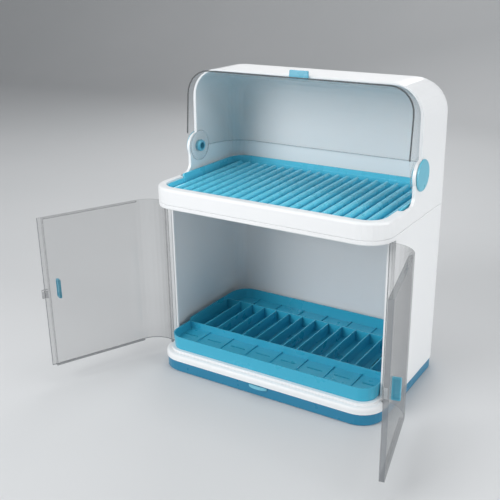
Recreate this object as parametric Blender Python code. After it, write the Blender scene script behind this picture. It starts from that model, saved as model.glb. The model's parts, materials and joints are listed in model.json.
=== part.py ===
"""Two-level covered dish rack: drip tray, cabinet with two clear doors, hood with a clear lid, two racks.

Metres, +Z up. The origin is the centre of the footprint on the surface that the rack stands on.
The front faces -Y. The pieces are placed as photographed, with both doors and the lid open.
"""

from math import asin, cos, pi, radians, sin, sqrt

import bmesh
import bpy
from mathutils import Matrix, Vector

# Cabinet
CABINET_WIDTH = 0.420
CABINET_DEPTH = 0.264
CABINET_HEIGHT = 0.509
FRONT_CORNER_RADIUS = 0.043
BACK_CORNER_RADIUS = 0.028
WALL = 0.0025
CLEARANCE = 0.0003
OVERRUN = 0.004

# Drip tray
TRAY_HEIGHT = 0.0205
TRAY_INSET = 0.0015
TRAY_WALL = 0.0025
TRAY_FLOOR = 0.0025
TRAY_EDGE_RADIUS = 0.002
TRAY_DRAFT = 0.001
TAB_WIDTH = 0.036
TAB_REACH = 0.0065
TAB_THICKNESS = 0.0035
TAB_DROP = 0.0012

# Lower shell
SILL_TOP = 0.0322
SILL_FLOOR = 0.0030
SILL_ROUNDING = 0.0050
SKIRT = 0.0060
PLATFORM_RISE = 0.0038
PLATFORM_INSET = 0.0095
PLATFORM_WALL = 0.0030
BASE_OPENING_MARGIN = 0.030
BASE_OPENING_RADIUS = 0.004
DECK_LIP = 0.0073
DECK_LIP_WALL = 0.0030
DECK_PLATE = 0.003
DECK_ROUNDING = 0.0020
SEAM_CHAMFER = 0.0007
POST_SETBACK = 0.0475
POST_WIDTH = 0.013
POST_DEPTH = 0.003
POST_GROOVE = 0.0020
POST_GROOVE_INSET = 0.0080
POST_GROOVE_DEPTH = 0.0016

# Doors
DOOR_OPEN_LEFT = 114.0
DOOR_OPEN_RIGHT = 102.65
HINGE_INSET = 0.0042
HINGE_SETBACK = 0.040
HINGE_BARREL_RADIUS = 0.0028
HINGE_PIN_RADIUS = 0.0016
HINGE_PIN_LENGTH = 0.0028
HINGE_PIN_CLEARANCE = 0.0004
DOOR_SKIN = 0.0022
DOOR_BOTTOM_GAP = 0.0006
DOOR_TOP_GAP = 0.0024
DOOR_MEETING = 0.0050
DOOR_MEETING_GAP = 0.0012
DOOR_FLANGE_DEPTH = 0.0082
DOOR_FLANGE = 0.0020
DOOR_OVERLAP = 0.0060
DOOR_HANDLE_INSET = 0.0203
DOOR_HANDLE_WIDTH = 0.0044
DOOR_HANDLE_HEIGHT = 0.032
DOOR_HANDLE_REACH = 0.0120
DOOR_HANDLE_RISE = 0.0015
DOOR_HANDLE_BORDER = 0.0022
DOOR_HANDLE_RECESS = 0.0012
DOOR_HANDLE_ROUNDING = 0.0008
CATCH_WIDTH = 0.0100
CATCH_PAST_EDGE = 0.0055
CATCH_HEIGHT = 0.015
CATCH_THICKNESS = 0.0040
CATCH_RISE = 0.0015
CATCH_ROUNDING = 0.0010
CATCH_CLEARANCE = 0.0012

# Hood
HOOD_HEIGHT = 0.2037
RIM_HEIGHT = 0.0269
RIM_WIDTH = 0.0135
RIM_ROUNDING = 0.0040
RECESS_CORNER_RADIUS = 0.0300
RECESS_STEP_SETBACK = 0.0795
RECESS_STEP_RADIUS = 0.006
HOOD_FRONT = 0.002
HOOD_CORNER_RADIUS = 0.050
HOOD_BACK_ROUNDING = 0.047
HOOD_CORNER_DRAW_SHARE = 0.5
HOOD_DRAFT = 0.0015
HOOD_LIP = 0.005
HOOD_LIP_DEPTH = 0.004
HOOD_SIDE_FRONT = -0.0175
HOOD_SIDE_FILLET = 0.0140
HOOD_BOSS_RADIUS = 0.0235
HOOD_BOSS_Y = 0.003

# Lid and its pivots
PIVOT_Y = 0.0065
PIVOT_RISE = 0.042
LID_OPEN = 95
LID_SIDE_GAP = 0.0020
LID_WALL = 0.0022
LID_CORNER_RADIUS = 0.0405
LID_TOP_GAP = 0.0040
LID_FLARE = 0.0100
LID_BACK_GAP = 0.0015
LID_FLARE_START = -6.5
LID_DROP = 0.0370
LID_TRAIL = 90.5
EAR_RADIUS = 0.0262
EAR_BOSS_RADIUS = 0.0235
EAR_BOSS_INWARD = 0.0013
EAR_BOSS_OUTWARD = 0.0008
CAP_RADIUS = 0.0248
CAP_THICKNESS = 0.0026
CAP_ROUNDING = 0.0016
CAP_SHOULDER_OUT_SHARE = 0.5
CAP_SHOULDER_IN_SHARE = 0.25
PIN_RADIUS = 0.0091
PIN_BORE = 0.0060
PIN_CLEARANCE = 0.0005
PIN_COLLAR = 0.0012
PIN_COLLAR_LENGTH = 0.0028
LID_HANDLE_WIDTH = 0.034
LID_HANDLE_REACH = 0.0140
LID_HANDLE_THICKNESS = 0.0040
LID_HANDLE_BELOW_PIVOT = 0.0190
LID_HANDLE_TIP_SHARE = 0.95
LID_HANDLE_ROUNDING = 0.0010

# Upper rack
UPPER_RACK_CLEARANCE = 0.0012
UPPER_RACK_WALL = 0.0020
UPPER_RACK_FLOOR_RISE = 0.0119
UPPER_RACK_FLOOR = 0.0020
UPPER_RACK_FRONT_HEIGHT = 0.0244
UPPER_RACK_BACK_HEIGHT = 0.0294
UPPER_RACK_LEDGE = 0.0014
UPPER_RACK_LEDGE_DROP = 0.0085
UPPER_RACK_FALL = 0.0040
UPPER_RACK_SIDE_CLEARANCE = 0.0036
UPPER_RACK_BACK_GAP = 0.0035
UPPER_RACK_BACK_RADIUS = 0.030
RIB_COUNT = 21
RIB_SIDE_MARGIN = 0.0139
RIB_WIDTH = 0.0112
RIB_HEIGHT = 0.0100
RIB_BACK_MARGIN = 0.0085
RIB_FRONT_MARGIN = 0.0010
RIB_END_ROUNDING = 0.0045
RIB_FRONT_SHARE = 0.55
RIB_BACK_SHARE = 0.45
RIB_FLANK_SHARE = 0.3
UPPER_SLOT_WIDTH = 0.0028
UPPER_SLOT_END_MARGIN = 0.022
UPPER_SLOT_TIE = 0.006
UPPER_SLOTS_PER_VALLEY = 3

# Lower rack
LOWER_RACK_FRONT = 0.0135
LOWER_RACK_BACK = 0.0110
LOWER_RACK_SIDE = 0.0138
LOWER_RACK_FRONT_RADIUS = 0.028
LOWER_RACK_BACK_RADIUS = 0.035
LOWER_RACK_DRAFT = 0.0020
LOWER_RACK_RIM_FRONT = 0.0602
LOWER_RACK_RIM_BACK = 0.0652
LOWER_RACK_WALL = 0.0020
LOWER_RACK_FLOOR_TOP = 0.0455
LOWER_RACK_FLOOR = 0.0020
TROUGH_FRONT = -0.0505
TROUGH_BACK = 0.0680
TROUGH_TOP = 0.0588
TROUGH_WALL = 0.0020
TROUGH_FLOOR_TOP = 0.0388
TROUGH_FLOOR = 0.0020
TROUGH_LEDGE = 0.0005
DIVIDER_COUNT = 13
DIVIDER_SIDE_MARGIN = 0.0324
DIVIDER_THICKNESS = 0.0018
CELL_COUNT = 8
CELL_SIDE_MARGIN = 0.0453
CELL_RIB_WIDTH = 0.0014
CELL_RIB_HEIGHT = 0.0020
CELL_SLOT_LENGTH = 0.029
CELL_SLOT_WIDTH = 0.0032
CELL_SLOT_SHIFT = 0.0088
FLOOR_SLOT_WIDTH = 0.0080
FLOOR_SLOT_TIE = 0.0050
FLOOR_SLOT_MARGIN = 0.0060
FLOOR_SLOTS_PER_GAP = 3

# Facets of the curves
CORNER_STEPS = 8
ARCH_STEPS = 9
BACK_STEPS = 7
LID_CORNER_STEPS = 7
LID_TURN_STEPS = 72
RIB_ARC_STEPS = 7
ROUND_STEPS = 32
PIN_STEPS = 24
ROUNDING_STEPS = 3
ROUNDING_PROFILE_SHARE = 0.5
FLAT_ANGLE = 0.05
SMOOTH_ANGLE = 35
WELD = 0.000005

HALF_WIDTH = CABINET_WIDTH / 2
FRONT = -CABINET_DEPTH / 2
BACK = CABINET_DEPTH / 2
SHELL_BOTTOM = TRAY_HEIGHT + CLEARANCE
SHELL_TOP = CABINET_HEIGHT - HOOD_HEIGHT
DECK_LIP_BOTTOM = SHELL_TOP - DECK_LIP
FLOOR_TOP = SILL_TOP + PLATFORM_RISE
HOOD_BOTTOM = SHELL_TOP + CLEARANCE
RECESS_STEP_Y = FRONT + RECESS_STEP_SETBACK
RIM_TOP = HOOD_BOTTOM + RIM_HEIGHT
PIVOT_Z = RIM_TOP + PIVOT_RISE
POST_FRONT = FRONT + POST_SETBACK
HINGE_X = HALF_WIDTH - HINGE_INSET
HINGE_Y = FRONT + HINGE_SETBACK
DOOR_BOTTOM = SILL_TOP + DOOR_BOTTOM_GAP
DOOR_TOP = DECK_LIP_BOTTOM - DOOR_TOP_GAP
DOOR_FACE = FRONT + CLEARANCE
DOOR_HANDLE_CENTRE = (DOOR_BOTTOM + DOOR_TOP) / 2 + DOOR_HANDLE_RISE
CATCH_CENTRE = (DOOR_BOTTOM + DOOR_TOP) / 2 + CATCH_RISE
LID_HALF_WIDTH = HALF_WIDTH - HOOD_LIP - LID_SIDE_GAP
LID_RADIUS = CABINET_HEIGHT - WALL - LID_TOP_GAP - PIVOT_Z
LID_FREE_RADIUS = LID_RADIUS + LID_FLARE
LID_TRAIL_RADIUS = BACK - WALL - LID_BACK_GAP - PIVOT_Y
UPPER_RACK_FLOOR_TOP = HOOD_BOTTOM + UPPER_RACK_FLOOR_RISE
UPPER_RACK_RIM_FRONT = HOOD_BOTTOM + UPPER_RACK_FRONT_HEIGHT
UPPER_RACK_RIM_BACK = HOOD_BOTTOM + UPPER_RACK_BACK_HEIGHT
RIB_TOP = UPPER_RACK_FLOOR_TOP + RIB_HEIGHT
RIB_PITCH = 2 * (HALF_WIDTH - HOOD_LIP - RIB_SIDE_MARGIN - RIB_WIDTH / 2) / (RIB_COUNT - 1)
LOWER_RACK_HALF = HALF_WIDTH - LOWER_RACK_SIDE
DIVIDER_PITCH = 2 * (LOWER_RACK_HALF - DIVIDER_SIDE_MARGIN) / (DIVIDER_COUNT - 1)
CELL_PITCH = 2 * (LOWER_RACK_HALF - CELL_SIDE_MARGIN) / (CELL_COUNT - 2)

for old in list(bpy.data.objects):
    bpy.data.objects.remove(old, do_unlink=True)

LOOKS = {
    "white": ((0.86, 0.88, 0.90, 1.0), 0.28, 0.0),
    "blue": ((0.05, 0.33, 0.50, 1.0), 0.34, 0.0),
    "light_blue": ((0.16, 0.52, 0.66, 1.0), 0.34, 0.0),
    "clear": ((0.80, 0.84, 0.86, 1.0), 0.08, 0.0),
}


def material(name, look):
    colour, roughness, metallic = LOOKS[look]
    made = bpy.data.materials.new(name)
    made.use_nodes = True
    shader = made.node_tree.nodes["Principled BSDF"]
    shader.inputs["Base Color"].default_value = colour
    shader.inputs["Roughness"].default_value = roughness
    shader.inputs["Metallic"].default_value = metallic
    if look == "clear":
        shader.inputs["Alpha"].default_value = 0.35
    made.diffuse_color = colour
    return made


def finish_mesh(bm, name, look=None):
    bmesh.ops.remove_doubles(bm, verts=bm.verts, dist=WELD)
    bmesh.ops.recalc_face_normals(bm, faces=bm.faces)
    mesh = bpy.data.meshes.new(name)
    bm.to_mesh(mesh)
    bm.free()
    made = bpy.data.objects.new(name, mesh)
    bpy.context.scene.collection.objects.link(made)
    if look:
        made.data.materials.append(material(name, look))
    return made


def add_loft(bm, rings, closed=False):
    """Skin a run of rings with equal counts; open runs get a face at both ends."""
    rows = [[bm.verts.new(point) for point in ring] for ring in rings]
    pairs = list(zip(rows, rows[1:]))
    if closed:
        pairs.append((rows[-1], rows[0]))
    count = len(rows[0])
    for low, high in pairs:
        for i in range(count):
            j = (i + 1) % count
            bm.faces.new((low[i], low[j], high[j], high[i]))
    if not closed:
        bm.faces.new(list(reversed(rows[0])))
        bm.faces.new(rows[-1])


def loft(name, rings, look=None, closed=False):
    bm = bmesh.new()
    add_loft(bm, rings, closed)
    return finish_mesh(bm, name, look)


def level(points, z):
    return [(x, y, z) for x, y in points]


def add_prism(bm, points, low, high):
    """Extrude a plan outline between two heights."""
    add_loft(bm, [level(points, low), level(points, high)])


def add_box(bm, low, high):
    corners = [(low[0], low[1]), (high[0], low[1]), (high[0], high[1]), (low[0], high[1])]
    add_prism(bm, corners, low[2], high[2])


def prism(name, points, low, high, look=None):
    bm = bmesh.new()
    add_prism(bm, points, low, high)
    return finish_mesh(bm, name, look)


def box(name, low, high, look=None):
    bm = bmesh.new()
    add_box(bm, low, high)
    return finish_mesh(bm, name, look)


def turned(name, stations, steps, look=None, centre=(0, 0)):
    """Rings about an axis along X: each station is (x, radius)."""
    rings = []
    for x, radius in stations:
        ring = []
        for step in range(steps):
            angle = 2 * pi * step / steps
            ring.append((x, centre[0] + radius * cos(angle), centre[1] + radius * sin(angle)))
        rings.append(ring)
    return loft(name, rings, look)


def upright_pin(bm, x, y, radius, low, high):
    ring = []
    for step in range(PIN_STEPS):
        angle = 2 * pi * step / PIN_STEPS
        ring.append((x + radius * cos(angle), y + radius * sin(angle)))
    add_prism(bm, ring, low, high)


def combine(target, other, operation):
    """Apply one exact Boolean and drop the second piece."""
    step = target.modifiers.new(operation, "BOOLEAN")
    step.operation = operation
    step.solver = "EXACT"
    step.object = other
    graph = bpy.context.evaluated_depsgraph_get()
    mesh = bpy.data.meshes.new_from_object(target.evaluated_get(graph))
    target.modifiers.clear()
    target.data = mesh
    bpy.data.objects.remove(other, do_unlink=True)
    return target


def round_edges(target, chosen, width, steps=ROUNDING_STEPS):
    """Bevel the edges whose two ends pass the test."""
    bm = bmesh.new()
    bm.from_mesh(target.data)
    bmesh.ops.dissolve_limit(bm, angle_limit=radians(FLAT_ANGLE), verts=bm.verts, edges=bm.edges)
    edges = [e for e in bm.edges if e.calc_length() > WELD and chosen(e)]
    bmesh.ops.bevel(
        bm,
        geom=edges,
        offset=width,
        segments=steps,
        profile=ROUNDING_PROFILE_SHARE,
        affect="EDGES",
        clamp_overlap=True,
    )
    bmesh.ops.recalc_face_normals(bm, faces=bm.faces)
    bm.to_mesh(target.data)
    bm.free()
    return target


def shade(target, angle=SMOOTH_ANGLE):
    target.data.shade_smooth()
    target.data.set_sharp_from_angle(angle=radians(angle))


def set_origin(target, point):
    """Move the object's origin without moving its shape."""
    target.data.transform(Matrix.Translation(-Vector(point)))
    target.location = point


def outline(half_width, front, back, front_radius, back_radius, stations=()):
    """Plan outline with rounded corners, counter-clockwise from the front right corner."""
    points = []
    corners = [
        (half_width - front_radius, front + front_radius, front_radius, -90),
        (half_width - back_radius, back - back_radius, back_radius, 0),
        (-half_width + back_radius, back - back_radius, back_radius, 90),
        (-half_width + front_radius, front + front_radius, front_radius, 180),
    ]
    for number, (centre_x, centre_y, radius, start) in enumerate(corners):
        for step in range(CORNER_STEPS + 1):
            angle = radians(start + 90 * step / CORNER_STEPS)
            points.append((centre_x + radius * cos(angle), centre_y + radius * sin(angle)))
        if number == 0:
            points += [(half_width, y) for y in stations]
        if number == 2:
            points += [(-half_width, y) for y in reversed(stations)]
    return points


def footprint(inset):
    return outline(
        HALF_WIDTH - inset,
        FRONT + inset,
        BACK - inset,
        FRONT_CORNER_RADIUS - inset,
        BACK_CORNER_RADIUS - inset,
    )


def stepped_outline(half_front, half_back, front, step_y, back, radii):
    """Plan outline whose rear part is wider than its front part, counter-clockwise."""
    front_radius, step_radius, back_radius = radii

    def corner(centre_x, centre_y, radius, start, steps):
        turns = [radians(start + 90 * step / steps) for step in range(steps + 1)]
        return [(centre_x + radius * cos(angle), centre_y + radius * sin(angle)) for angle in turns]

    right = corner(half_front - front_radius, front + front_radius, front_radius, -90, CORNER_STEPS)
    right.append((half_front, step_y))
    right += corner(half_back - step_radius, step_y + step_radius, step_radius, -90, CORNER_STEPS // 2)
    right += corner(half_back - back_radius, back - back_radius, back_radius, 0, CORNER_STEPS)
    return right + [(-x, y) for x, y in reversed(right)]


def smooth_step(value, low, high):
    share = min(1.0, max(0.0, (value - low) / (high - low)))
    return share * share * (3 - 2 * share)


# Drip tray, an open pan under the whole footprint with a pull tab at the front


def make_drip_tray():
    tray = loft(
        "drip_tray",
        [
            level(footprint(TRAY_INSET + TRAY_EDGE_RADIUS), 0),
            level(footprint(TRAY_INSET), TRAY_EDGE_RADIUS),
            level(footprint(TRAY_INSET), TRAY_HEIGHT),
            level(footprint(TRAY_INSET + TRAY_WALL), TRAY_HEIGHT),
            level(footprint(TRAY_INSET + TRAY_WALL + TRAY_DRAFT), TRAY_FLOOR),
        ],
        "blue",
    )
    top = TRAY_HEIGHT - TAB_DROP
    face = FRONT + TRAY_INSET
    reach = []
    for step in range(2 * CORNER_STEPS + 1):
        angle = pi + pi * step / (2 * CORNER_STEPS)
        reach.append((TAB_WIDTH / 2 * cos(angle), face + TAB_REACH * sin(angle)))
    reach.append((TAB_WIDTH / 2, face + TRAY_WALL / 2))
    reach.append((-TAB_WIDTH / 2, face + TRAY_WALL / 2))
    combine(tray, prism("tab", reach, top - TAB_THICKNESS, top), "UNION")
    shade(tray)
    return tray


# Lower shell, walls, base and deck in one moulding, open at the front


def skin_depth(point):
    """How far a point lies inside the outer skin, seen from above."""
    across, along = abs(point.x), abs(point.y)
    radius = FRONT_CORNER_RADIUS if point.y < 0 else BACK_CORNER_RADIUS
    over_x = across - (HALF_WIDTH - radius)
    over_y = along - (CABINET_DEPTH / 2 - radius)
    if over_x > 0 and over_y > 0:
        return radius - sqrt(over_x ** 2 + over_y ** 2)
    return min(HALF_WIDTH - across, CABINET_DEPTH / 2 - along)


def on_skin(edge, height):
    """True for an edge of the outer skin at a height, in front of the posts."""
    for vertex in edge.verts:
        point = vertex.co
        if abs(point.z - height) > WELD or skin_depth(point) > CLEARANCE or point.y > POST_FRONT + WELD:
            return False
    return True


def seam_cutter(z, side):
    """Ring of triangular section that takes off the outer corner above or below the seam."""
    near = z - side * OVERRUN
    rings = [
        level(footprint(SEAM_CHAMFER + OVERRUN), near),
        level(footprint(-OVERRUN), near),
        level(footprint(-OVERRUN), z + side * (SEAM_CHAMFER + OVERRUN)),
    ]
    return loft("seam_cut", rings, closed=True)


def make_lower_shell():
    shell = prism("lower_shell", footprint(0), SHELL_BOTTOM, SHELL_TOP, "white")
    past = HALF_WIDTH + OVERRUN
    before = FRONT - OVERRUN
    combine(
        shell,
        box("front_cut", (-past, before, FLOOR_TOP), (past, POST_FRONT, DECK_LIP_BOTTOM)),
        "DIFFERENCE",
    )
    ledge = box("ledge_cut", (-past, before, SILL_TOP), (past, POST_FRONT, FLOOR_TOP + OVERRUN))
    combine(ledge, prism("platform", footprint(PLATFORM_INSET), SHELL_BOTTOM, SHELL_TOP), "DIFFERENCE")
    combine(shell, ledge, "DIFFERENCE")
    inside = outline(
        HALF_WIDTH - WALL,
        POST_FRONT + POST_DEPTH,
        BACK - WALL,
        WALL,
        BACK_CORNER_RADIUS - WALL,
    )
    combine(shell, prism("cavity_cut", inside, FLOOR_TOP, SHELL_TOP - DECK_PLATE), "DIFFERENCE")
    mouth = HALF_WIDTH - POST_WIDTH
    combine(
        shell,
        box(
            "mouth_cut",
            (-mouth, POST_FRONT - OVERRUN, FLOOR_TOP),
            (mouth, POST_FRONT + 2 * POST_DEPTH, DECK_LIP_BOTTOM),
        ),
        "DIFFERENCE",
    )
    bm = bmesh.new()
    for side in (-1, 1):
        near = side * (HALF_WIDTH - POST_GROOVE_INSET)
        far = near - side * POST_GROOVE
        add_box(
            bm,
            (min(near, far), POST_FRONT - OVERRUN, FLOOR_TOP),
            (max(near, far), POST_FRONT + POST_GROOVE_DEPTH, DECK_LIP_BOTTOM),
        )
    combine(shell, finish_mesh(bm, "post_grooves"), "DIFFERENCE")
    below = SHELL_BOTTOM - OVERRUN
    combine(shell, prism("skirt_cut", footprint(SKIRT), below, SILL_TOP - SILL_FLOOR), "DIFFERENCE")
    combine(
        shell,
        prism("platform_cut", footprint(PLATFORM_INSET + PLATFORM_WALL), below, FLOOR_TOP - PLATFORM_WALL),
        "DIFFERENCE",
    )
    drain = outline(
        HALF_WIDTH - BASE_OPENING_MARGIN,
        FRONT + BASE_OPENING_MARGIN,
        BACK - BASE_OPENING_MARGIN,
        BASE_OPENING_RADIUS,
        BASE_OPENING_RADIUS,
    )
    combine(shell, prism("drain_cut", drain, SHELL_BOTTOM, FLOOR_TOP + OVERRUN), "DIFFERENCE")
    pocket = outline(
        mouth,
        FRONT + DECK_LIP_WALL,
        POST_FRONT + 2 * POST_DEPTH,
        FRONT_CORNER_RADIUS - POST_WIDTH,
        WALL,
    )
    low, high = DECK_LIP_BOTTOM - OVERRUN, SHELL_TOP - DECK_PLATE
    combine(shell, prism("deck_pocket", pocket, low, high), "DIFFERENCE")
    round_edges(shell, lambda edge: on_skin(edge, SILL_TOP), SILL_ROUNDING)
    round_edges(shell, lambda edge: on_skin(edge, DECK_LIP_BOTTOM), DECK_ROUNDING, 2)
    combine(shell, seam_cutter(SHELL_TOP, -1), "DIFFERENCE")
    hole = HINGE_PIN_RADIUS + HINGE_PIN_CLEARANCE
    depth = HINGE_PIN_LENGTH + HINGE_PIN_CLEARANCE
    bm = bmesh.new()
    for side in (-1, 1):
        upright_pin(bm, side * HINGE_X, HINGE_Y, hole, SILL_TOP - depth, SILL_TOP + OVERRUN)
        upright_pin(bm, side * HINGE_X, HINGE_Y, hole, DECK_LIP_BOTTOM - OVERRUN, DECK_LIP_BOTTOM + depth)
    combine(shell, finish_mesh(bm, "hinge_holes"), "DIFFERENCE")
    shade(shell)
    return shell


# Hood, the shelf rim and the arched cover above it in one moulding


def arch(half_width, bottom, top, radius):
    """Front view outline of the arch as (x, z), from the bottom left round to the bottom right."""
    points = [(-half_width, bottom)]
    for step in range(ARCH_STEPS + 1):
        angle = pi - pi / 2 * step / ARCH_STEPS
        points.append((-half_width + radius + radius * cos(angle), top - radius + radius * sin(angle)))
    for step in range(ARCH_STEPS + 1):
        angle = pi / 2 - pi / 2 * step / ARCH_STEPS
        points.append((half_width - radius + radius * cos(angle), top - radius + radius * sin(angle)))
    points.append((half_width, bottom))
    return points


def arch_rings(front, inset, bottom):
    """Arch sections from the front to the back, closing in over the rounded back."""
    rounding = HOOD_BACK_ROUNDING - inset
    corner = BACK_CORNER_RADIUS - inset
    back = BACK - inset
    stations = [front]
    for step in range(BACK_STEPS + 1):
        stations.append(back - rounding + rounding * sin(pi / 2 * step / BACK_STEPS))
    rings = []
    for y in stations:
        over = max(0.0, y - (back - rounding))
        drop = rounding - sqrt(max(0.0, rounding * rounding - over * over))
        past = max(0.0, y - (back - corner))
        draw = corner - sqrt(max(0.0, corner * corner - past * past))
        radius = HOOD_CORNER_RADIUS - inset - drop * HOOD_CORNER_DRAW_SHARE
        section = arch(HALF_WIDTH - inset - draw, bottom, CABINET_HEIGHT - inset - drop, radius)
        rings.append([(x, y, z) for x, z in section])
    return rings


def side_profile():
    """Side view of the wall below the hood's front edge as (y, z): fillet, straight and boss."""
    points = [(HOOD_SIDE_FRONT - HOOD_SIDE_FILLET, RIM_TOP - WALL)]
    for step in range(CORNER_STEPS + 1):
        angle = -pi / 2 + pi / 2 * step / CORNER_STEPS
        points.append(
            (
                HOOD_SIDE_FRONT - HOOD_SIDE_FILLET + HOOD_SIDE_FILLET * cos(angle),
                RIM_TOP + HOOD_SIDE_FILLET + HOOD_SIDE_FILLET * sin(angle),
            )
        )
    start = pi + asin(sqrt(1 - ((HOOD_SIDE_FRONT - HOOD_BOSS_Y) / HOOD_BOSS_RADIUS) ** 2))
    end = pi / 2
    for step in range(2 * CORNER_STEPS + 1):
        angle = start + (end - start) * step / (2 * CORNER_STEPS)
        points.append((HOOD_BOSS_Y + HOOD_BOSS_RADIUS * cos(angle), PIVOT_Z + HOOD_BOSS_RADIUS * sin(angle)))
    points.append((HOOD_BOSS_Y + HOOD_BOSS_RADIUS, PIVOT_Z + HOOD_BOSS_RADIUS))
    points.append((HOOD_BOSS_Y + HOOD_BOSS_RADIUS, RIM_TOP - WALL))
    return points


def recess_outline(grow):
    return stepped_outline(
        HALF_WIDTH - RIM_WIDTH + grow,
        HALF_WIDTH - HOOD_LIP + grow,
        FRONT + RIM_WIDTH - grow,
        RECESS_STEP_Y - grow,
        BACK - WALL + grow,
        (RECESS_CORNER_RADIUS + grow, RECESS_STEP_RADIUS, BACK_CORNER_RADIUS - WALL + grow),
    )


def make_hood():
    rim_end = HOOD_FRONT + HOOD_LIP_DEPTH
    left = footprint(0)[-CORNER_STEPS - 1 :]
    right = footprint(0)[: CORNER_STEPS + 1]
    front_part = left + right + [(HALF_WIDTH, rim_end), (-HALF_WIDTH, rim_end)]
    rim = prism("hood", front_part, HOOD_BOTTOM, RIM_TOP, "white")

    def is_rim_edge(edge):
        on_top = all(abs(v.co.z - RIM_TOP) < WELD for v in edge.verts)
        return on_top and any(v.co.y < rim_end - WELD for v in edge.verts)

    round_edges(rim, is_rim_edge, RIM_ROUNDING)
    hood = rim
    combine(hood, loft("arch", arch_rings(HOOD_FRONT, 0, HOOD_BOTTOM)), "UNION")
    profile = side_profile()
    for side in (-1, 1):
        inner = side * (HALF_WIDTH - HOOD_LIP)
        outer = side * HALF_WIDTH
        wall = loft("side_wall", [[(x, y, z) for y, z in profile] for x in (inner, outer)])
        combine(hood, wall, "UNION")
    recess = recess_outline(0)
    combine(hood, prism("recess_cut", recess, HOOD_BOTTOM - OVERRUN, RIM_TOP + WALL), "DIFFERENCE")
    rings = arch_rings(HOOD_FRONT, WALL, RIM_TOP)
    lip = arch(HALF_WIDTH - HOOD_LIP, RIM_TOP, CABINET_HEIGHT - WALL, HOOD_CORNER_RADIUS - HOOD_LIP)
    lip_end = HOOD_FRONT + HOOD_LIP_DEPTH
    first = [(x, HOOD_SIDE_FRONT - HOOD_SIDE_FILLET, z) for x, z in lip]
    second = [(x, lip_end, z) for x, z in lip]
    third = [(x, lip_end, z) for x, _, z in rings[0]]
    combine(hood, loft("inner_cut", [first, second, third] + rings[1:]), "DIFFERENCE")
    combine(hood, seam_cutter(HOOD_BOTTOM, 1), "DIFFERENCE")
    for vertex in hood.data.vertices:
        point = vertex.co
        if point.z > RIM_TOP:
            rise = (point.z - RIM_TOP) / (CABINET_HEIGHT - RIM_TOP)
            depth = max(0, point.y - HOOD_FRONT) / (BACK - HOOD_FRONT)
            point.x *= 1 - rise * HOOD_DRAFT / HALF_WIDTH
            point.y -= rise * depth * HOOD_DRAFT
    shade(hood)
    return hood


# Caps with hollow pins that carry the lid


def make_cap(side, name):
    face = HALF_WIDTH + CLEARANCE
    inner = LID_HALF_WIDTH - LID_WALL - EAR_BOSS_INWARD - CLEARANCE
    stations = [
        (face + CAP_THICKNESS, CAP_RADIUS - CAP_ROUNDING),
        (
            face + CAP_THICKNESS - CAP_ROUNDING * CAP_SHOULDER_OUT_SHARE,
            CAP_RADIUS - CAP_ROUNDING * CAP_SHOULDER_IN_SHARE,
        ),
        (face + CAP_THICKNESS - CAP_ROUNDING, CAP_RADIUS),
        (face, CAP_RADIUS),
        (face, PIN_RADIUS),
        (inner, PIN_RADIUS),
        (inner, PIN_RADIUS + PIN_COLLAR),
        (inner - PIN_COLLAR_LENGTH, PIN_RADIUS),
        (inner - PIN_COLLAR_LENGTH, PIN_BORE),
        (face, PIN_BORE),
    ]
    cap = turned(name, [(side * x, r) for x, r in stations], ROUND_STEPS, "light_blue", (PIVOT_Y, PIVOT_Z))
    shade(cap)
    return cap


def cut_pivot_holes(target, radius, centre):
    reach = HALF_WIDTH + OVERRUN
    for side in (-1, 1):
        near = side * (LID_HALF_WIDTH - LID_WALL - 2 * OVERRUN)
        hole = turned("pivot_hole", [(near, radius), (side * reach, radius)], ROUND_STEPS, None, centre)
        combine(target, hole, "DIFFERENCE")


# Lid, a clear drum sector with rounded shoulders, modelled closed with its pivot at the origin


def lid_reach(angle):
    """Outer radius of the lid at an angle in degrees above the forward horizontal."""
    if angle > 180:
        angle -= 360
    low = -asin(LID_DROP / LID_FREE_RADIUS) * 180 / pi
    if angle < LID_FLARE_START:
        share = min(1.0, (LID_FLARE_START - angle) / (LID_FLARE_START - low))
        return LID_RADIUS + (LID_FREE_RADIUS - LID_RADIUS) * share * share
    if angle < 0:
        return LID_RADIUS
    share = min(1.0, angle / LID_TRAIL)
    return LID_RADIUS + (LID_TRAIL_RADIUS - LID_RADIUS) * share


def lid_drum(name, inset, look=None):
    half = LID_HALF_WIDTH - inset
    corner = LID_CORNER_RADIUS - inset
    stations = []
    for step in range(LID_CORNER_STEPS + 1):
        angle = pi / 2 * step / LID_CORNER_STEPS
        stations.append((-half + corner - corner * cos(angle), corner - corner * sin(angle)))
    stations += [(-x, drop) for x, drop in reversed(stations)]
    rings = []
    for x, drop in stations:
        ring = []
        for step in range(LID_TURN_STEPS):
            degrees = 360 * step / LID_TURN_STEPS
            radius = lid_reach(degrees) - inset - drop
            angle = radians(degrees)
            ring.append((x, -radius * cos(angle), radius * sin(angle)))
        rings.append(ring)
    return loft(name, rings, look)


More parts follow.
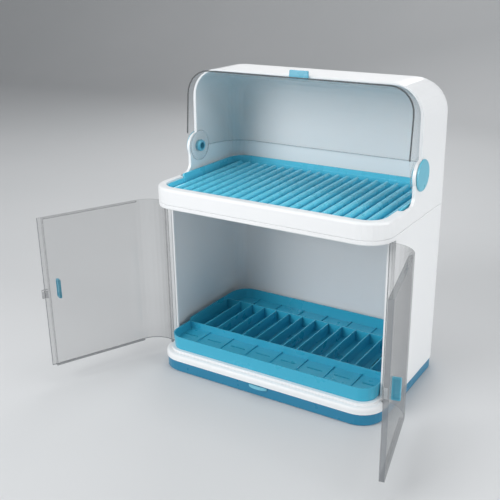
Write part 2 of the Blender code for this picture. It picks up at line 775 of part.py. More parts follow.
def make_lid():
    lid = lid_drum("lid", 0, "clear")
    for side in (-1, 1):
        face = LID_HALF_WIDTH + EAR_BOSS_OUTWARD
        boss = turned(
            "boss",
            [(side * (LID_HALF_WIDTH - LID_WALL / 2), EAR_BOSS_RADIUS), (side * face, EAR_BOSS_RADIUS)],
            ROUND_STEPS,
        )
        combine(lid, boss, "UNION")
    combine(lid, lid_drum("lid_inside", LID_WALL), "DIFFERENCE")
    for side in (-1, 1):
        inner = LID_HALF_WIDTH - LID_WALL - EAR_BOSS_INWARD
        boss = turned(
            "boss",
            [(side * inner, EAR_BOSS_RADIUS), (side * (LID_HALF_WIDTH - LID_WALL / 2), EAR_BOSS_RADIUS)],
            ROUND_STEPS,
        )
        combine(lid, boss, "UNION")
    far = LID_FREE_RADIUS + OVERRUN
    trail = LID_TRAIL_RADIUS * sin(radians(LID_TRAIL - 90))
    keep = [(-far, -LID_DROP), (-sqrt(LID_DROP ** 2 - EAR_RADIUS ** 2), -LID_DROP)]
    for step in range(3 * CORNER_STEPS + 1):
        angle = -pi / 2 + (pi / 2 + asin(sqrt(1 - (trail / EAR_RADIUS) ** 2))) * step / (3 * CORNER_STEPS)
        keep.append((EAR_RADIUS * cos(angle), EAR_RADIUS * sin(angle)))
    keep += [(trail, far), (-far, far)]
    past = LID_HALF_WIDTH + OVERRUN
    sector = loft("sector", [[(x, y, z) for y, z in keep] for x in (-past, past)])
    combine(lid, sector, "INTERSECT")
    cut_pivot_holes(lid, PIN_RADIUS + PIN_CLEARANCE, (0, 0))
    shade(lid)
    return lid


def face_reach(z):
    """Forward reach of the closed lid's faceted front at a height below the pivot."""
    step = 2 * pi / LID_TURN_STEPS
    above = (LID_RADIUS, 0)
    turn = 0
    while True:
        turn -= step
        radius = lid_reach(turn * 180 / pi)
        below = (radius * cos(turn), radius * sin(turn))
        if below[1] <= z:
            break
        above = below
    return above[0] + (below[0] - above[0]) * (above[1] - z) / (above[1] - below[1])


def make_lid_handle():
    """Tab on the front of the lid, modelled with the lid closed."""
    low = -LID_HANDLE_BELOW_PIVOT - LID_HANDLE_THICKNESS / 2
    high = low + LID_HANDLE_THICKNESS
    root = -CLEARANCE - max(face_reach(low), face_reach(high))
    half = LID_HANDLE_WIDTH / 2
    tip = half * LID_HANDLE_TIP_SHARE
    plan = [(half, root), (-half, root), (-tip, root - LID_HANDLE_REACH), (tip, root - LID_HANDLE_REACH)]
    handle = prism("lid_handle", plan, low, high, "light_blue")
    round_edges(handle, lambda e: all(v.co.y < root - CLEARANCE for v in e.verts), LID_HANDLE_ROUNDING, 2)
    shade(handle)
    return handle


# Doors, modelled closed


def door_path(inset, end):
    """Plan line of the right door, from the hinge side round the corner to the meeting edge."""
    radius = FRONT_CORNER_RADIUS - CLEARANCE - inset
    centre = (HALF_WIDTH - FRONT_CORNER_RADIUS, FRONT + FRONT_CORNER_RADIUS)
    points = [(centre[0] + radius, HINGE_Y)]
    for step in range(CORNER_STEPS + 1):
        angle = -pi / 2 * step / CORNER_STEPS
        point = (centre[0] + radius * cos(angle), centre[1] + radius * sin(angle))
        if point[1] < HINGE_Y - HINGE_PIN_CLEARANCE:
            points.append(point)
    points.append((end, centre[1] - radius))
    return points


def make_door(side, name):
    end = side * DOOR_MEETING + DOOR_MEETING_GAP / 2
    skin = door_path(0, end) + list(reversed(door_path(DOOR_SKIN, end)))
    flange_start = end + (DOOR_OVERLAP if side < 0 else 0)
    corner = HALF_WIDTH - FRONT_CORNER_RADIUS
    back = FRONT + DOOR_FLANGE_DEPTH
    front = DOOR_FACE + DOOR_SKIN / 2
    bm = bmesh.new()
    add_prism(bm, skin, DOOR_BOTTOM, DOOR_TOP)
    door = finish_mesh(bm, name, "clear")
    extras = [
        ((flange_start, front, DOOR_TOP - DOOR_FLANGE), (corner, back, DOOR_TOP)),
        ((flange_start, front, DOOR_BOTTOM), (corner, back, DOOR_BOTTOM + DOOR_FLANGE)),
        ((flange_start, front, DOOR_BOTTOM), (flange_start + DOOR_FLANGE, back, DOOR_TOP)),
    ]
    for low, high in extras:
        combine(door, box("flange", low, high), "UNION")
    bm = bmesh.new()
    upright_pin(bm, HINGE_X, HINGE_Y, HINGE_BARREL_RADIUS, DOOR_BOTTOM, DOOR_TOP)
    combine(door, finish_mesh(bm, "barrel"), "UNION")
    reach = HINGE_PIN_LENGTH
    bm = bmesh.new()
    upright_pin(bm, HINGE_X, HINGE_Y, HINGE_PIN_RADIUS, SILL_TOP - reach, DECK_LIP_BOTTOM + reach)
    combine(door, finish_mesh(bm, "pin"), "UNION")
    if side > 0:
        half = CATCH_HEIGHT / 2 + CATCH_CLEARANCE
        near = DOOR_FACE + DOOR_SKIN
        far = near + CATCH_THICKNESS + CATCH_CLEARANCE
        slot = box(
            "catch_slot",
            (end - OVERRUN, near, CATCH_CENTRE - half),
            (end + CATCH_PAST_EDGE + CATCH_CLEARANCE, far, CATCH_CENTRE + half),
        )
        combine(door, slot, "DIFFERENCE")
    if side < 0:
        mirror_x(door)
    shade(door)
    return door


def mirror_x(target):
    target.data.transform(Matrix.Scale(-1, 4, (1, 0, 0)))
    target.data.flip_normals()


def make_door_handle(side, name):
    """Upright grip with a shallow recess in both flanks."""
    start = DOOR_HANDLE_INSET
    end = start + DOOR_HANDLE_WIDTH
    reach = FRONT - DOOR_HANDLE_REACH
    half = DOOR_HANDLE_HEIGHT / 2
    low, high = DOOR_HANDLE_CENTRE - half, DOOR_HANDLE_CENTRE + half
    handle = box(name, (start, reach, low), (end, FRONT, high), "light_blue")
    round_edges(handle, lambda e: all(v.co.y < reach + CLEARANCE for v in e.verts), DOOR_HANDLE_ROUNDING, 2)
    border = DOOR_HANDLE_BORDER
    bm = bmesh.new()
    recess = DOOR_HANDLE_RECESS
    for near, far in ((start - OVERRUN, start + recess), (end - recess, end + OVERRUN)):
        add_box(bm, (near, reach + border, low + border), (far, FRONT - border, high - border))
    combine(handle, finish_mesh(bm, "recesses"), "DIFFERENCE")
    if side < 0:
        mirror_x(handle)
    shade(handle)
    return handle


def make_catch():
    """Clear snap behind the left door's edge that reaches past it."""
    near = DOOR_FACE + DOOR_SKIN + CLEARANCE
    half = CATCH_HEIGHT / 2
    tip = DOOR_MEETING - DOOR_MEETING_GAP / 2 + CATCH_PAST_EDGE
    low = (tip - CATCH_WIDTH, near, CATCH_CENTRE - half)
    high = (tip, near + CATCH_THICKNESS, CATCH_CENTRE + half)
    catch = box("door_catch_left", low, high, "clear")
    round_edges(catch, lambda e: all(v.co.y > near + CLEARANCE for v in e.verts), CATCH_ROUNDING, 2)
    shade(catch)
    return catch


# Upper rack, a shallow tray with rounded bars


def upper_rack_outline(inset):
    gap = UPPER_RACK_CLEARANCE + inset
    recess_back = HALF_WIDTH - HOOD_LIP
    return stepped_outline(
        HALF_WIDTH - RIM_WIDTH - gap,
        recess_back - UPPER_RACK_SIDE_CLEARANCE - inset,
        FRONT + RIM_WIDTH + gap,
        RECESS_STEP_Y + gap,
        BACK - WALL - UPPER_RACK_BACK_GAP - inset,
        (RECESS_CORNER_RADIUS - gap, RECESS_STEP_RADIUS, UPPER_RACK_BACK_RADIUS - inset),
    )


def make_upper_rack():
    step_y = RECESS_STEP_Y + UPPER_RACK_CLEARANCE
    bottom = HOOD_BOTTOM
    wall = UPPER_RACK_WALL
    front = FRONT + RIM_WIDTH + UPPER_RACK_CLEARANCE + wall
    wall_back = BACK - WALL - UPPER_RACK_BACK_GAP - wall

    def sloped(points, z):
        """A ring that falls from its height at the back towards the front, so that water drains."""
        return [(x, y, z - UPPER_RACK_FALL * (wall_back - y) / (wall_back - front)) for x, y in points]

    def rim(inset):
        """Top edge of the wall, which rises round the step."""
        ring = []
        for x, y in upper_rack_outline(inset):
            share = smooth_step(y, step_y + inset, step_y + inset + RECESS_STEP_RADIUS)
            ring.append((x, y, UPPER_RACK_RIM_FRONT + (UPPER_RACK_RIM_BACK - UPPER_RACK_RIM_FRONT) * share))
        return ring

    def ledge(points):
        """The same outline with its back drawn forward to the face below the ledge."""
        turn = UPPER_RACK_BACK_RADIUS - wall
        return [(x, y - UPPER_RACK_LEDGE * max(0, y - wall_back + turn) / turn) for x, y in points]

    outer = upper_rack_outline(0)
    inner = upper_rack_outline(wall)
    rack = loft(
        "upper_rack",
        [
            sloped(inner, UPPER_RACK_FLOOR_TOP - UPPER_RACK_FLOOR),
            level(inner, bottom),
            level(outer, bottom),
            rim(0),
            rim(wall),
            level(inner, UPPER_RACK_RIM_BACK - UPPER_RACK_LEDGE_DROP),
            level(ledge(inner), UPPER_RACK_RIM_BACK - UPPER_RACK_LEDGE_DROP),
            sloped(ledge(inner), UPPER_RACK_FLOOR_TOP),
        ],
        "light_blue",
    )
    half_front = HALF_WIDTH - RIM_WIDTH - UPPER_RACK_CLEARANCE - wall
    radius = RECESS_CORNER_RADIUS - UPPER_RACK_CLEARANCE - wall
    back = wall_back - RIB_BACK_MARGIN

    def front_limit(x):
        """Where a bar's outer flank meets the inside of the front wall."""
        edge = abs(x) + RIB_WIDTH / 2
        if edge > half_front - WELD:
            return step_y + wall + RIB_FRONT_MARGIN
        over = max(0.0, edge - (half_front - radius))
        return front + radius - sqrt(radius * radius - over * over) + RIB_FRONT_MARGIN

    bm = bmesh.new()
    base = UPPER_RACK_FLOOR_TOP - UPPER_RACK_FLOOR / 2
    rise = RIB_TOP - UPPER_RACK_FLOOR_TOP
    for number in range(RIB_COUNT):
        x = (number - (RIB_COUNT - 1) / 2) * RIB_PITCH
        start = front_limit(x)
        rings = []
        sections = (
            (start, RIB_FRONT_SHARE),
            (start + RIB_END_ROUNDING, 1),
            (back - RIB_END_ROUNDING, 1),
            (back, RIB_BACK_SHARE),
        )
        for y, share in sections:
            section = [(x + RIB_WIDTH / 2, base)]
            for step in range(RIB_ARC_STEPS):
                angle = pi * (step + 1 / 2) / RIB_ARC_STEPS
                crown = RIB_FLANK_SHARE + (1 - RIB_FLANK_SHARE) * sin(angle)
                section.append((x + RIB_WIDTH / 2 * cos(angle), UPPER_RACK_FLOOR_TOP + rise * share * crown))
            section.append((x - RIB_WIDTH / 2, base))
            rings.append([sloped([(px, y)], pz)[0] for px, pz in section])
        add_loft(bm, rings)
    combine(rack, finish_mesh(bm, "bars"), "UNION")
    bm = bmesh.new()
    start = front + UPPER_SLOT_END_MARGIN
    end = back - UPPER_SLOT_END_MARGIN
    length = (end - start - UPPER_SLOT_TIE * (UPPER_SLOTS_PER_VALLEY - 1)) / UPPER_SLOTS_PER_VALLEY
    under = UPPER_RACK_FLOOR_TOP - UPPER_RACK_FALL - 2 * UPPER_RACK_FLOOR
    for number in range(RIB_COUNT - 1):
        x = (number - (RIB_COUNT - 2) / 2) * RIB_PITCH
        for part in range(UPPER_SLOTS_PER_VALLEY):
            low = start + part * (length + UPPER_SLOT_TIE)
            add_box(
                bm,
                (x - UPPER_SLOT_WIDTH / 2, low, under),
                (x + UPPER_SLOT_WIDTH / 2, low + length, UPPER_RACK_FLOOR_TOP + UPPER_RACK_FLOOR),
            )
    combine(rack, finish_mesh(bm, "valley_slots"), "DIFFERENCE")
    shade(rack)
    return rack


# Lower rack, plate dividers in a trough between two shallow cell rows


def lower_rack_outline(inset):
    return outline(
        LOWER_RACK_HALF - inset,
        FRONT + LOWER_RACK_FRONT + inset,
        BACK - LOWER_RACK_BACK - inset,
        LOWER_RACK_FRONT_RADIUS - inset,
        LOWER_RACK_BACK_RADIUS - inset,
        (TROUGH_FRONT - TROUGH_WALL, TROUGH_FRONT, TROUGH_FRONT + TROUGH_WALL),
    )


def make_lower_rack():
    bottom = FLOOR_TOP + CLEARANCE
    wall = LOWER_RACK_WALL
    draft = LOWER_RACK_DRAFT
    floor = LOWER_RACK_FLOOR_TOP

    def slope(z):
        """Inset of the drafted side at a height."""
        return draft * (LOWER_RACK_RIM_FRONT - z) / (LOWER_RACK_RIM_FRONT - bottom)

    def rim(extra):
        ring = []
        for number, (x, y) in enumerate(lower_rack_outline(0)):
            share = smooth_step(y, TROUGH_FRONT - TROUGH_WALL, TROUGH_FRONT + TROUGH_WALL)
            z = LOWER_RACK_RIM_FRONT + (LOWER_RACK_RIM_BACK - LOWER_RACK_RIM_FRONT) * share
            ring.append((*lower_rack_outline(slope(z) + extra)[number], z))
        return ring

    rack = loft(
        "lower_rack",
        [
            level(lower_rack_outline(slope(bottom) + wall), floor - LOWER_RACK_FLOOR),
            level(lower_rack_outline(slope(bottom) + wall), bottom),
            level(lower_rack_outline(slope(bottom)), bottom),
            rim(0),
            rim(wall),
            level(lower_rack_outline(slope(floor) + wall), floor),
        ],
        "blue",
    )

    def within(piece, inset):
        """Trim a piece to the drafted sides."""
        low, high = bottom, LOWER_RACK_RIM_FRONT
        sides = [
            level(lower_rack_outline(slope(low) + inset), low),
            level(lower_rack_outline(slope(high) + inset), high),
        ]
        return combine(piece, loft("sides", sides), "INTERSECT")

    trough = box(
        "trough",
        (-HALF_WIDTH, TROUGH_FRONT - TROUGH_WALL, TROUGH_FLOOR_TOP - TROUGH_FLOOR),
        (HALF_WIDTH, TROUGH_BACK + TROUGH_WALL, TROUGH_TOP),
    )
    combine(rack, within(trough, wall / 2), "UNION")
    hollow = box(
        "trough_cut",
        (-HALF_WIDTH, TROUGH_FRONT, TROUGH_FLOOR_TOP),
        (HALF_WIDTH, TROUGH_BACK, LOWER_RACK_RIM_FRONT),
    )
    combine(rack, within(hollow, wall + TROUGH_LEDGE), "DIFFERENCE")
    bm = bmesh.new()
    for number in range(DIVIDER_COUNT):
        x = (number - (DIVIDER_COUNT - 1) / 2) * DIVIDER_PITCH
        half = DIVIDER_THICKNESS / 2
        add_box(
            bm,
            (x - half, TROUGH_FRONT - TROUGH_WALL / 2, TROUGH_FLOOR_TOP - TROUGH_FLOOR / 2),
            (x + half, TROUGH_BACK + TROUGH_WALL / 2, TROUGH_TOP - CLEARANCE),
        )
    combine(rack, finish_mesh(bm, "dividers"), "UNION")
    bm = bmesh.new()
    front_wall = FRONT + LOWER_RACK_FRONT + wall / 2
    back_wall = BACK - LOWER_RACK_BACK - wall / 2
    top = floor + CELL_RIB_HEIGHT
    low = floor - LOWER_RACK_FLOOR / 2
    for number in range(CELL_COUNT - 1):
        x = (number - (CELL_COUNT - 2) / 2) * CELL_PITCH
        half = CELL_RIB_WIDTH / 2
        near, far = TROUGH_FRONT - TROUGH_WALL / 2, TROUGH_BACK + TROUGH_WALL / 2
        add_box(bm, (x - half, front_wall + slope(floor), low), (x + half, near, top))
        add_box(bm, (x - half, far, low), (x + half, back_wall - slope(floor), top))
    combine(rack, finish_mesh(bm, "cell_ribs"), "UNION")
    bm = bmesh.new()
    under = LOWER_RACK_FLOOR * 2
    middle_front = (front_wall + TROUGH_FRONT) / 2 + CELL_SLOT_SHIFT
    middle_back = (back_wall + TROUGH_BACK) / 2 - CELL_SLOT_SHIFT
    for number in range(CELL_COUNT):
        x = (number - (CELL_COUNT - 1) / 2) * CELL_PITCH
        for y in (middle_front, middle_back):
            add_box(
                bm,
                (x - CELL_SLOT_LENGTH / 2, y - CELL_SLOT_WIDTH / 2, floor - under),
                (x + CELL_SLOT_LENGTH / 2, y + CELL_SLOT_WIDTH / 2, floor + under),
            )
    start = TROUGH_FRONT + FLOOR_SLOT_MARGIN
    end = TROUGH_BACK - FLOOR_SLOT_MARGIN
    length = (end - start - FLOOR_SLOT_TIE * (FLOOR_SLOTS_PER_GAP - 1)) / FLOOR_SLOTS_PER_GAP
    for number in range(DIVIDER_COUNT + 1):
        x = (number - DIVIDER_COUNT / 2) * DIVIDER_PITCH
        for part in range(FLOOR_SLOTS_PER_GAP):
            y = start + part * (length + FLOOR_SLOT_TIE)
            add_box(
                bm,
                (x - FLOOR_SLOT_WIDTH / 2, y, TROUGH_FLOOR_TOP - under),
                (x + FLOOR_SLOT_WIDTH / 2, y + length, TROUGH_FLOOR_TOP + TROUGH_FLOOR),
            )
    combine(rack, finish_mesh(bm, "slots"), "DIFFERENCE")
    shade(rack)
    return rack


drip_tray = make_drip_tray()
lower_shell = make_lower_shell()
hood = make_hood()
cut_pivot_holes(hood, PIN_RADIUS + PIN_CLEARANCE, (PIVOT_Y, PIVOT_Z))
pivot_cap_left = make_cap(-1, "pivot_cap_left")
pivot_cap_right = make_cap(1, "pivot_cap_right")
upper_rack = make_upper_rack()
lower_rack = make_lower_rack()

lid = make_lid()
lid_handle = make_lid_handle()
lid.location = (0, PIVOT_Y, PIVOT_Z)
lid.rotation_euler = (radians(-LID_OPEN), 0, 0)
lid_handle.parent = lid

hinge_left = (-HINGE_X, HINGE_Y, 0)
hinge_right = (HINGE_X, HINGE_Y, 0)
door_left = make_door(-1, "door_left")
door_handle_left = make_door_handle(-1, "door_handle_left")
door_catch_left = make_catch()
door_right = make_door(1, "door_right")
door_handle_right = make_door_handle(1, "door_handle_right")
for door, hinge, fitted in (
    (door_left, hinge_left, (door_handle_left, door_catch_left)),
    (door_right, hinge_right, (door_handle_right,)),
):
    set_origin(door, hinge)
    for piece in fitted:
        set_origin(piece, hinge)
        piece.location = (0, 0, 0)
        piece.parent = door
door_left.rotation_euler = (0, 0, radians(-DOOR_OPEN_LEFT))
door_right.rotation_euler = (0, 0, radians(DOOR_OPEN_RIGHT))
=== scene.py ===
"""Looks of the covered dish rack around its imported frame: materials, floor, light and camera."""

import json
from math import cos, pi, radians, sin

import bpy
from mathutils import Matrix, Vector


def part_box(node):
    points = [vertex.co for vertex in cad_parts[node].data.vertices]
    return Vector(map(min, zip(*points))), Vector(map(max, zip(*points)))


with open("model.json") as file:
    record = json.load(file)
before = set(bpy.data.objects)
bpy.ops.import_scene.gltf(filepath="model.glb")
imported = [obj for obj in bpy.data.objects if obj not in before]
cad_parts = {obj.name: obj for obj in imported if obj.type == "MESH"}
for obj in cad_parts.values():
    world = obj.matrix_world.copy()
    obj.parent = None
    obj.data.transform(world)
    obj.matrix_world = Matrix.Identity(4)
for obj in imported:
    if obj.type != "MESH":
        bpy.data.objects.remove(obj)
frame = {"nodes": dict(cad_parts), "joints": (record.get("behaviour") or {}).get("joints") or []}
nodes = frame["nodes"]
joints = {joint["name"]: joint for joint in frame["joints"]}
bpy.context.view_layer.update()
scene = bpy.context.scene


# Colours, linear. Each moulded plastic drifts between its colour and a slightly deeper one.

WHITE = (0.86, 0.875, 0.885), (0.85, 0.866, 0.878)
BLUE = (0.042, 0.430, 0.620), (0.038, 0.410, 0.595)
RACK_BLUE = (0.120, 0.615, 0.800), (0.110, 0.590, 0.775)
# Painted shade: the tray's blue is a darker copy of the lower rack's blue plastic, standing in for the
# shade on the tray.
SHADED_TRAY_BLUE = (0.014, 0.212, 0.370), (0.012, 0.197, 0.350)
# Painted light: the tray's pull tab is painted a lighter blue, standing in for the light on its top.
LIT_TAB_BLUE = (0.17, 0.52, 0.66)
CAP_BLUE = (0.145, 0.500, 0.640), (0.135, 0.480, 0.620)
GRIP_BLUE = (0.090, 0.415, 0.570), (0.083, 0.395, 0.550)
SMOKE = (0.10, 0.105, 0.11)
VEIL = (0.66, 0.68, 0.70)
# Painted shade: the rims of the clear pieces are painted dark, standing in for the shade their edges take.
RIM_SHADE_DARK = (0.05, 0.055, 0.06)
# Painted shade: the doors' rims, and the small catch all over, take this grey edge shade.
RIM_SHADE_GREY = (0.20, 0.215, 0.23)
FLOOR = (0.66, 0.67, 0.68), (0.63, 0.645, 0.655)


# Texture of the plastics: patches per metre, and how deep a large moulded face sinks.

DRIFT_SCALE = 6.0
GLOSS_SCALE = 30.0
SINK_SCALE = 4.0
SINK_DEPTH = 0.0006
SINK_STRENGTH = 0.05
PLASTIC_IOR = 1.49
COAT_ROUGHNESS = 0.10

GLANCE_BLEND = 0.35
CLEAR_GLOSS_SCALE = 12.0
WAVE_SCALE = 5.0
WAVE_DEPTH = 0.0010
WAVE_STRENGTH = 0.15
CATCH_SCALE = 60.0

FLOOR_SCALE = 1.2
FLOOR_ROUGHNESS = 0.62


# Rims of the clear pieces, whose edges are painted as shade, in metres, and how dense the fainter ones are.

RIM_WIDTH = 0.0009
PIN_LENGTH = 0.0030
FAINT_SHARE = 0.45


# Materials


class Graph:
    """A material and its nodes, wired by socket name."""

    def __init__(self, name):
        self.material = bpy.data.materials.new(name)
        self.material.use_nodes = True
        self.tree = self.material.node_tree
        self.shader = self.tree.nodes["Principled BSDF"]
        self.coords = self.add("ShaderNodeTexCoord").outputs["Object"]

    def add(self, kind, **values):
        node = self.tree.nodes.new(kind)
        for key, value in values.items():
            setattr(node, key, value)
        return node

    def wire(self, source, target):
        self.tree.links.new(source, target)

    def noise(self, scale, detail=3.0):
        node = self.add("ShaderNodeTexNoise")
        node.inputs["Scale"].default_value = scale
        node.inputs["Detail"].default_value = detail
        self.wire(self.coords, node.inputs["Vector"])
        return node.outputs["Fac"]

    def span(self, source, low, high, from_low=0.3, from_high=0.7):
        """A value spread from one range onto another. Most noise lies in the first one's default."""
        node = self.add("ShaderNodeMapRange")
        node.inputs["From Min"].default_value = from_low
        node.inputs["From Max"].default_value = from_high
        node.inputs["To Min"].default_value = low
        node.inputs["To Max"].default_value = high
        self.wire(source, node.inputs["Value"])
        return node.outputs["Result"]

    def mix(self, factor, first, second):
        """Two colours mixed, each a plain colour or an output."""
        node = self.add("ShaderNodeMix", data_type="RGBA")
        self.wire(factor, node.inputs["Factor"])
        for name, value in (("A", first), ("B", second)):
            if isinstance(value, tuple):
                node.inputs[name].default_value = (*value, 1)
            else:
                self.wire(value, node.inputs[name])
        return node.outputs["Result"]

    def math(self, operation, first, second=None):
        """One operation on two values, each a plain number or an output."""
        node = self.add("ShaderNodeMath", operation=operation)
        for socket, value in zip(node.inputs, (first, second)):
            if isinstance(value, (int, float)):
                socket.default_value = value
            elif value is not None:
                self.wire(value, socket)
        return node.outputs["Value"]

    def near(self, value, place, width):
        """1 where a value lies within a width of a place, and 0 elsewhere."""
        distance = self.math("ABSOLUTE", self.math("SUBTRACT", value, place))
        return self.math("LESS_THAN", distance, width)

    def parts(self, vector):
        node = self.add("ShaderNodeSeparateXYZ")
        self.wire(vector, node.inputs["Vector"])
        return list(node.outputs)

    def turned(self, joint):
        """The surface's place once its joint is closed."""
        node = self.add("ShaderNodeVectorRotate", rotation_type="AXIS_ANGLE")
        node.inputs["Center"].default_value = joint["pos_m"]
        node.inputs["Axis"].default_value = joint["axis"]
        node.inputs["Angle"].default_value = radians(joint["range_deg"][0])
        self.wire(self.coords, node.inputs["Vector"])
        return node.outputs["Vector"]

    def bump(self, source, distance, strength):
        node = self.add("ShaderNodeBump")
        node.inputs["Distance"].default_value = distance
        node.inputs["Strength"].default_value = strength
        self.wire(source, node.inputs["Height"])
        self.wire(node.outputs["Normal"], self.shader.inputs["Normal"])


def plastic(name, colours, rough=0.30, spread=0.04, coat=0.15, part=None, lit_part_colour=None):
    """Moulded plastic: soft colour drift, patchy gloss, the slight sink of a large moulded face."""
    g = Graph(name)
    base = g.mix(g.span(g.noise(DRIFT_SCALE), 0, 1), *colours)
    # Painted light: a part of the piece is painted in a lighter colour of its own.
    if part:
        base = g.mix(part(g), base, lit_part_colour)
    g.wire(base, g.shader.inputs["Base Color"])
    gloss = g.span(g.noise(GLOSS_SCALE), rough - spread, rough + spread)
    g.wire(gloss, g.shader.inputs["Roughness"])
    g.bump(g.noise(SINK_SCALE, 0.0), SINK_DEPTH, SINK_STRENGTH)
    g.shader.inputs["IOR"].default_value = PLASTIC_IOR
    g.shader.inputs["Coat Weight"].default_value = coat
    g.shader.inputs["Coat Roughness"].default_value = COAT_ROUGHNESS
    return g.material


def lit_tab_part(g):
    """The tray's pull tab, which stands out in front of the cabinet's face and is painted lighter, as
    painted light on its top.
    """
    _, y, _ = g.parts(g.coords)
    return g.math("LESS_THAN", y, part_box("lower_shell")[0].y)


def clear(name, rims, tint, face, glance, rim_shade_tint, rim_density, rough=0.03, ior=1.9):
    """Clear moulded plastic: see-through face on, denser at a glance, and in its rims denser and painted
    with edge shade.
    """
    g = Graph(name)
    rim = rims(g)
    facing = g.add("ShaderNodeLayerWeight")
    facing.inputs["Blend"].default_value = GLANCE_BLEND
    density = g.span(facing.outputs["Facing"], face, glance, 0.0, 1.0)
    alpha = g.math("MAXIMUM", density, g.math("MULTIPLY", rim, rim_density))
    g.wire(alpha, g.shader.inputs["Alpha"])
    # Painted shade: the rims take the darker edge tint.
    g.wire(g.mix(rim, tint, rim_shade_tint), g.shader.inputs["Base Color"])
    gloss = g.span(g.noise(CLEAR_GLOSS_SCALE, 2.0), rough * 0.5, rough * 1.5)
    g.wire(gloss, g.shader.inputs["Roughness"])
    g.bump(g.noise(WAVE_SCALE, 0.0), WAVE_DEPTH, WAVE_STRENGTH)
    g.shader.inputs["IOR"].default_value = ior
    return g.material


def closed(name, joint):
    """Lowest and highest corner of a node when its joint is closed."""
    pivot, axis = Vector(joint["pos_m"]), Vector(joint["axis"])
    turn = Matrix.Rotation(radians(joint["range_deg"][0]), 3, axis)
    points = [turn @ (vertex.co - pivot) + pivot for vertex in nodes[name].data.vertices]
    return [Vector(pick(point[i] for point in points) for i in range(3)) for pick in (min, max)]


def lid_rims(g):
    """Where the lid is painted with edge shade: its free edge, and fainter its trailing edge and the rings
    of its two ears.
    """
    joint = joints["lid_hinge"]
    low, high = closed("lid", joint)
    _, pivot_y, pivot_z = joint["pos_m"]
    ear = high.y - pivot_y
    _, y, z = g.parts(g.turned(joint))
    behind = g.math("SUBTRACT", y, pivot_y)
    above = g.math("SUBTRACT", z, pivot_z)
    square = g.math("ADD", g.math("MULTIPLY", behind, behind), g.math("MULTIPLY", above, above))
    reach = g.math("SQRT", square)
    free = g.math("LESS_THAN", z, low.z + RIM_WIDTH)
    past_ear = g.math("GREATER_THAN", reach, ear + RIM_WIDTH)
    trailing = g.math("MULTIPLY", g.math("GREATER_THAN", y, pivot_y), past_ear)
    faint = g.math("MAXIMUM", trailing, g.near(reach, ear, RIM_WIDTH / 2))
    return g.math("MAXIMUM", free, g.math("MULTIPLY", faint, FAINT_SHARE))


def door_rims(name, joint_name, free_side):
    """Where a door is painted with edge shade: its top, its bottom and its free edge. Its pins stand out
    above and below.
    """

    def rims(g):
        joint = joints[joint_name]
        low, high = closed(name, joint)
        x, _, z = g.parts(g.turned(joint))
        free = g.near(x, high.x if free_side > 0 else low.x, RIM_WIDTH)
        bottom = g.near(z, low.z + PIN_LENGTH, RIM_WIDTH)
        top = g.near(z, high.z - PIN_LENGTH, RIM_WIDTH)
        return g.math("MAXIMUM", free, g.math("MAXIMUM", bottom, top))

    return rims


def all_over(g):
    """A small clear piece is painted in patches all over with the doors' grey edge shade."""
    return g.span(g.noise(CATCH_SCALE), 0.3, 0.6)


white_plastic = plastic("white_plastic", WHITE, spread=0.01, coat=0.12)
cap_plastic = plastic("cap_plastic", CAP_BLUE, rough=0.28, coat=0.2)
grip_plastic = plastic("grip_plastic", GRIP_BLUE, rough=0.28, coat=0.2)
left_rims = door_rims("door_left", "left_door_hinge", 1)
right_rims = door_rims("door_right", "right_door_hinge", -1)
lid_look = dict(tint=VEIL, face=0.02, glance=0.25, rim_shade_tint=RIM_SHADE_DARK, rim_density=0.85, rough=0.25, ior=1.3)
door_look = dict(tint=SMOKE, face=0.08, glance=0.60, rim_shade_tint=RIM_SHADE_GREY, rim_density=0.75)
catch_look = dict(door_look, face=0.10)

LOOKS = {
    "drip_tray": plastic("tray_plastic", SHADED_TRAY_BLUE, part=lit_tab_part, lit_part_colour=LIT_TAB_BLUE),
    "lower_rack": plastic("blue_plastic", BLUE),
    "upper_rack": plastic("upper_rack_plastic", RACK_BLUE, rough=0.28, coat=0.35),
    "lower_shell": white_plastic,
    "hood": white_plastic,
    "pivot_cap_left": cap_plastic,
    "pivot_cap_right": cap_plastic,
    "lid_handle": grip_plastic,
    "door_handle_left": grip_plastic,
    "door_handle_right": grip_plastic,
    "lid": clear("clear_lid", lid_rims, **lid_look),
    "door_left": clear("clear_left_door", left_rims, **door_look),
    "door_right": clear("clear_right_door", right_rims, **door_look),
    "door_catch_left": clear("clear_catch", all_over, **catch_look),
}
for name, look in LOOKS.items():
    nodes[name].data.materials.clear()
    nodes[name].data.materials.append(look)


# Floor and backdrop


def sweep():
    """A floor that curves up into a wall behind the rack."""
    half, front, back, radius, top, steps = 6.0, -5.0, 3.4, 1.2, 5.0, 24
    line = [(front, 0.0)]
    for step in range(steps + 1):
        angle = -pi / 2 + pi / 2 * step / steps
        line.append((back - radius + radius * cos(angle), radius + radius * sin(angle)))
    line.append((back, top))
    points = [(x, y, z) for y, z in line for x in (-half, half)]
    faces = [(2 * i, 2 * i + 1, 2 * i + 3, 2 * i + 2) for i in range(len(line) - 1)]
    mesh = bpy.data.meshes.new("sweep")
    mesh.from_pydata(points, [], faces)
    mesh.shade_smooth()
    made = bpy.data.objects.new("sweep", mesh)
    scene.collection.objects.link(made)
    g = Graph("sweep_paint")
    g.wire(g.mix(g.span(g.noise(FLOOR_SCALE), 0, 1), *FLOOR), g.shader.inputs["Base Color"])
    g.shader.inputs["Roughness"].default_value = FLOOR_ROUGHNESS
    made.data.materials.append(g.material)


sweep()


# Light: each lamp's place and size in metres, and its power in watts

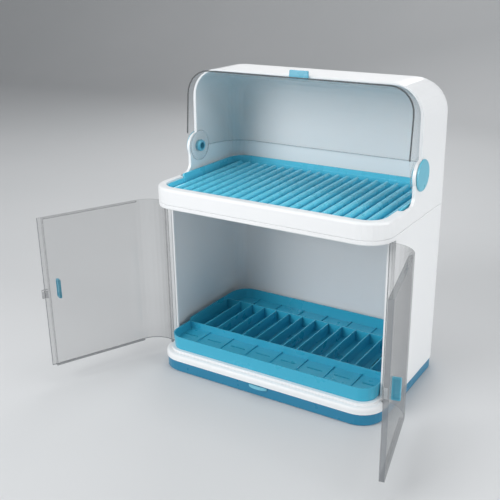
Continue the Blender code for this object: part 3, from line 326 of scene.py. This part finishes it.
AIM = Vector((0, 0, 0.25))
LAMPS = {
    "key": ((-1.0, -2.2, 1.8), (1.6, 1.3), 39),
    "low": ((-1.4, -2.3, 0.7), (1.4, 1.2), 17),
    "side": ((2.5, -0.1, 0.9), (1.2, 1.6), 33),
    "top": ((0.0, 0.1, 2.6), (2.0, 1.6), 20),
    "back": ((-0.9, 2.0, 1.6), (1.4, 1.0), 12),
}
SKY = (0.95, 0.97, 1.0)
SKY_STRENGTH = 0.27

for name, (place, size, power) in LAMPS.items():
    data = bpy.data.lights.new(name, "AREA")
    data.shape = "RECTANGLE"
    data.size, data.size_y = size
    data.energy = power
    lamp = bpy.data.objects.new(name, data)
    lamp.location = place
    lamp.rotation_euler = (AIM - Vector(place)).to_track_quat("-Z", "Y").to_euler()
    scene.collection.objects.link(lamp)

world = bpy.data.worlds.new("studio")
scene.world = world
world.use_nodes = True
background = world.node_tree.nodes["Background"]
background.inputs["Color"].default_value = (*SKY, 1)
background.inputs["Strength"].default_value = SKY_STRENGTH


# Camera at the photograph's viewing angle: angles, place in metres, and the lens in pixels

AZIMUTH, ELEVATION, ROLL = radians(30.85), radians(20.38), radians(0.16)
PLACE = Vector((0.6079, -1.0959, 0.6793))
FOCAL_PIXELS, CENTRE, PIXELS = 785.61, (274.05, 251.97), 500
SENSOR_WIDTH = 36

forward = Vector((-sin(AZIMUTH) * cos(ELEVATION), cos(AZIMUTH) * cos(ELEVATION), -sin(ELEVATION)))
across = Vector((cos(AZIMUTH), sin(AZIMUTH), 0))
down = forward.cross(across)
right = cos(ROLL) * across + sin(ROLL) * down
lower = -sin(ROLL) * across + cos(ROLL) * down
camera_data = bpy.data.cameras.new("camera")
camera_data.sensor_width = SENSOR_WIDTH
camera_data.lens = FOCAL_PIXELS * SENSOR_WIDTH / PIXELS
camera_data.shift_x = (PIXELS / 2 - CENTRE[0]) / PIXELS
camera_data.shift_y = (CENTRE[1] - PIXELS / 2) / PIXELS
camera = bpy.data.objects.new("camera", camera_data)
columns = (right, -lower, -forward)
camera.matrix_world = Matrix([[c[i] for c in columns] + [PLACE[i]] for i in range(3)] + [[0, 0, 0, 1]])
scene.collection.objects.link(camera)
scene.camera = camera

scene.view_settings.view_transform = "Standard"
